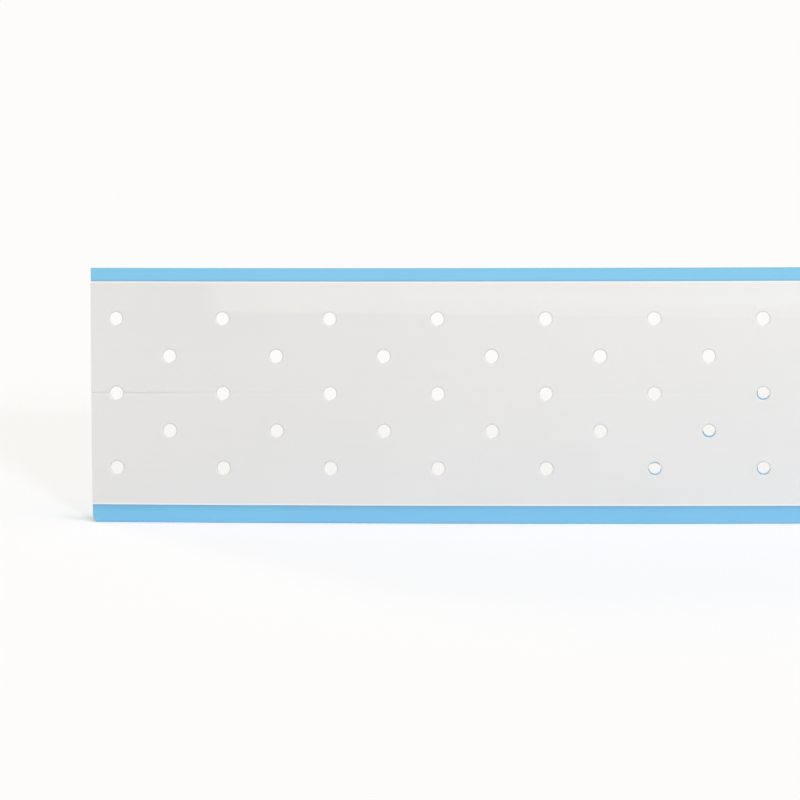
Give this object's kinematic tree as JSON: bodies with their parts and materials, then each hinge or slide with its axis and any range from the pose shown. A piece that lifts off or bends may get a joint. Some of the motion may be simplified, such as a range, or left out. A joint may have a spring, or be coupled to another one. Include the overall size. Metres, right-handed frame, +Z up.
{
  "type": "roll of perforated two-ply tape",
  "caption": "Standing roll of perforated two-ply tape: pale cover film on a wider light-blue base tape, round staggered holes, free end pulled out.",
  "frame": {"origin": "on the axis of the core's bore, in the plane that the roll stands on", "axes": "+Z up along the core's bore; the free end runs towards -X on the -Y side of the roll, with its film facing -Y; +Y is behind"},
  "size_m": [0.1492, 0.0547, 0.0289],
  "materials": {
    "base_tape": "light-blue soft plastic, satin",
    "cover_film": "pale-grey plastic film with a soft gloss",
    "core_board": "spiral-wound brown board"
  },
  "bodies": {
    "roll": {"core_tube": "core_board", "wound_tape": "base_tape", "outer_turn_tape": "base_tape", "outer_turn_film": "cover_film", "lead_tape": "base_tape", "lead_film": "cover_film"},
    "segment_1": {"tape_1": "base_tape", "film_1": "cover_film"},
    "segment_2": {"tape_2": "base_tape", "film_2": "cover_film"},
    "segment_3": {"tape_3": "base_tape", "film_3": "cover_film"},
    "segment_4": {"tape_4": "base_tape", "film_4": "cover_film"},
    "segment_5": {"tape_5": "base_tape", "film_5": "cover_film"},
    "segment_6": {"tape_6": "base_tape", "film_6": "cover_film"},
    "segment_7": {"tape_7": "base_tape", "film_7": "cover_film"},
    "segment_8": {"tape_8": "base_tape", "film_8": "cover_film"},
    "segment_9": {"tape_9": "base_tape", "film_9": "cover_film"},
    "film_tip": {"film_tip": "cover_film"}
  },
  "joints": [
    {"name": "curl_1", "type": "hinge", "parent": "roll", "child": "segment_1", "pos_m": [-0.01225, -0.0271, 0.01445], "axis": [0, 0, -1], "range_deg": [-8, 12], "stiffness_Nm_per_rad": 0.01},
    {"name": "curl_2", "type": "hinge", "parent": "segment_1", "child": "segment_2", "pos_m": [-0.0245, -0.02689, 0.01445], "axis": [0, 0, -1], "range_deg": [-8, 12]},
    {"name": "curl_3", "type": "hinge", "parent": "segment_2", "child": "segment_3", "pos_m": [-0.03674, -0.02646, 0.01445], "axis": [0, 0, -1], "range_deg": [-8, 12]},
    {"name": "curl_4", "type": "hinge", "parent": "segment_3", "child": "segment_4", "pos_m": [-0.04897, -0.02582, 0.01445], "axis": [0, 0, -1], "range_deg": [-8, 12]},
    {"name": "curl_5", "type": "hinge", "parent": "segment_4", "child": "segment_5", "pos_m": [-0.06119, -0.02496, 0.01445], "axis": [0, 0, -1], "range_deg": [-8, 12]},
    {"name": "curl_6", "type": "hinge", "parent": "segment_5", "child": "segment_6", "pos_m": [-0.0734, -0.0239, 0.01445], "axis": [0, 0, -1], "range_deg": [-8, 12]},
    {"name": "curl_7", "type": "hinge", "parent": "segment_6", "child": "segment_7", "pos_m": [-0.08558, -0.02261, 0.01445], "axis": [0, 0, -1], "range_deg": [-8, 12]},
    {"name": "curl_8", "type": "hinge", "parent": "segment_7", "child": "segment_8", "pos_m": [-0.09774, -0.02112, 0.01445], "axis": [0, 0, -1], "range_deg": [-8, 12]},
    {"name": "curl_9", "type": "hinge", "parent": "segment_8", "child": "segment_9", "pos_m": [-0.10987, -0.01942, 0.01445], "axis": [0, 0, -1], "range_deg": [-8, 12]},
    {"name": "film_peel", "type": "hinge", "parent": "segment_9", "child": "film_tip", "pos_m": [-0.11683, -0.01864, 0.0147], "axis": [0, 0, 1], "range_deg": [0, 75]}
  ],
  "couplings": [
    {"joint": "curl_2", "follows": "curl_1", "ratio": 1},
    {"joint": "curl_3", "follows": "curl_1", "ratio": 1},
    {"joint": "curl_4", "follows": "curl_1", "ratio": 1},
    {"joint": "curl_5", "follows": "curl_1", "ratio": 1},
    {"joint": "curl_6", "follows": "curl_1", "ratio": 1},
    {"joint": "curl_7", "follows": "curl_1", "ratio": 1},
    {"joint": "curl_8", "follows": "curl_1", "ratio": 1},
    {"joint": "curl_9", "follows": "curl_1", "ratio": 1}
  ]
}
